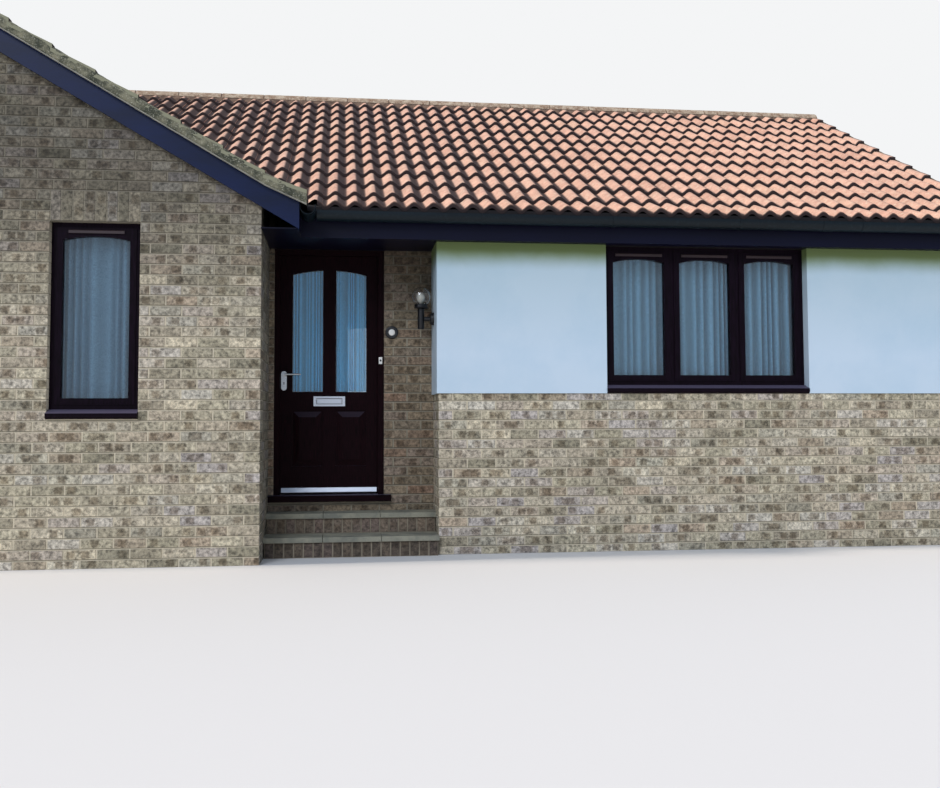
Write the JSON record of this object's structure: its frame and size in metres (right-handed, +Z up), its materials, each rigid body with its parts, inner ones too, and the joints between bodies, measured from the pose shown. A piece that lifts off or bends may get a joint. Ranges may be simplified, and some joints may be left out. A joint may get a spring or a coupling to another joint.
{
  "type": "bungalow",
  "caption": "Single-storey house with a gable-fronted brick wing, a recessed stepped porch with a part-glazed door, white rendered panels over a brick plinth and a tiled roof.",
  "frame": {"origin": "on the ground under the middle of the house's overall box", "axes": "+X to the right along the main front, +Y from the front to the rear, +Z up"},
  "size_m": [12.604, 7.8, 4.638],
  "materials": {
    "brick": "wire-cut buff multi facing brick in lime-grey mortar",
    "render": "painted cement render, lightly floated",
    "concrete": "power-floated concrete",
    "plaster": "painted plasterboard",
    "roof_tile": "matt interlocking double-roll tile, weathered",
    "ridge_tile": "weathered half-round ridge tile",
    "eaves_board": "dark gloss stained board",
    "mortar": "lichened verge mortar",
    "gutter_plastic": "dark moulded PVC",
    "joinery": "dark rosewood stain, satin",
    "brass": "dull brass butt hinge",
    "white_plastic": "moulded",
    "black_iron": "black powder coat",
    "clear_glass": "clear blown glass",
    "window_glass": "clear float glass, sealed double glazing",
    "vent_plastic": "moulded slot vent cover",
    "net": "white net curtain",
    "paving_slab": "pressed concrete slab",
    "aluminium": "satin anodised"
  },
  "bodies": {
    "house": {"wing_front_wall": "brick", "wing_rear_wall": "brick", "wing_left_wall": "brick", "wing_return_wall": "brick", "porch_wall": "brick", "porch_wall_base": "brick", "porch_wall_head": "brick", "front_plinth_wall": "brick", "front_render_left": "render", "front_render_right": "render", "front_wall_head": "brick", "right_gable_wall": "brick", "rear_wall": "brick", "floor_slab": "concrete", "ceiling": "plaster", "main_roof_front": "roof_tile", "main_roof_rear": "roof_tile", "wing_roof_left": "roof_tile", "wing_roof_right_front": "roof_tile", "wing_roof_right_rear": "roof_tile", "ridge_tiles": "ridge_tile", "front_fascia": "eaves_board", "front_soffit": "eaves_board", "rear_eaves_boards": "eaves_board", "wing_eaves_boards": "eaves_board", "wing_bargeboards": "eaves_board", "gable_bargeboards": "eaves_board", "verge_bedding": "mortar", "main_gutters": "gutter_plastic", "wing_gutters": "gutter_plastic", "door_frame": "joinery", "door_cill": "joinery", "frame_hinges": "brass", "bell_push": "white_plastic", "round_bell": "white_plastic", "porch_lamp": "black_iron", "lamp_globe": "clear_glass", "wide_window_frames": "joinery", "wide_window_glass": "window_glass", "narrow_window_frames": "joinery", "narrow_window_glass": "window_glass", "slot_vents": "vent_plastic", "net_curtains": "net", "step_slabs": "paving_slab", "step_brickwork": "brick"},
    "front_door": {"front_door": "joinery", "door_glass": "window_glass", "weather_bar": "aluminium", "door_hinges": "brass", "letter_plate": "aluminium", "door_handle_plate": "aluminium"},
    "door_lever": {"door_lever": "aluminium"},
    "letter_flap": {"letter_flap": "aluminium"}
  },
  "joints": [
    {"name": "front_door_hinge", "type": "hinge", "parent": "house", "child": "front_door", "pos_m": [1.0855, -2.838, 1.4], "axis": [0, 0, -1], "range_deg": [0, 90]},
    {"name": "door_lever_turn", "type": "hinge", "parent": "front_door", "child": "door_lever", "pos_m": [0.313, -2.925, 1.411], "axis": [0, 1, 0], "range_deg": [0, 40], "stiffness_Nm_per_rad": 1.2},
    {"name": "letter_flap_swing", "type": "hinge", "parent": "front_door", "child": "letter_flap", "pos_m": [0.6795, -2.888, 1.208], "axis": [1, 0, 0], "range_deg": [0, 80], "stiffness_Nm_per_rad": 0.2}
  ]
}
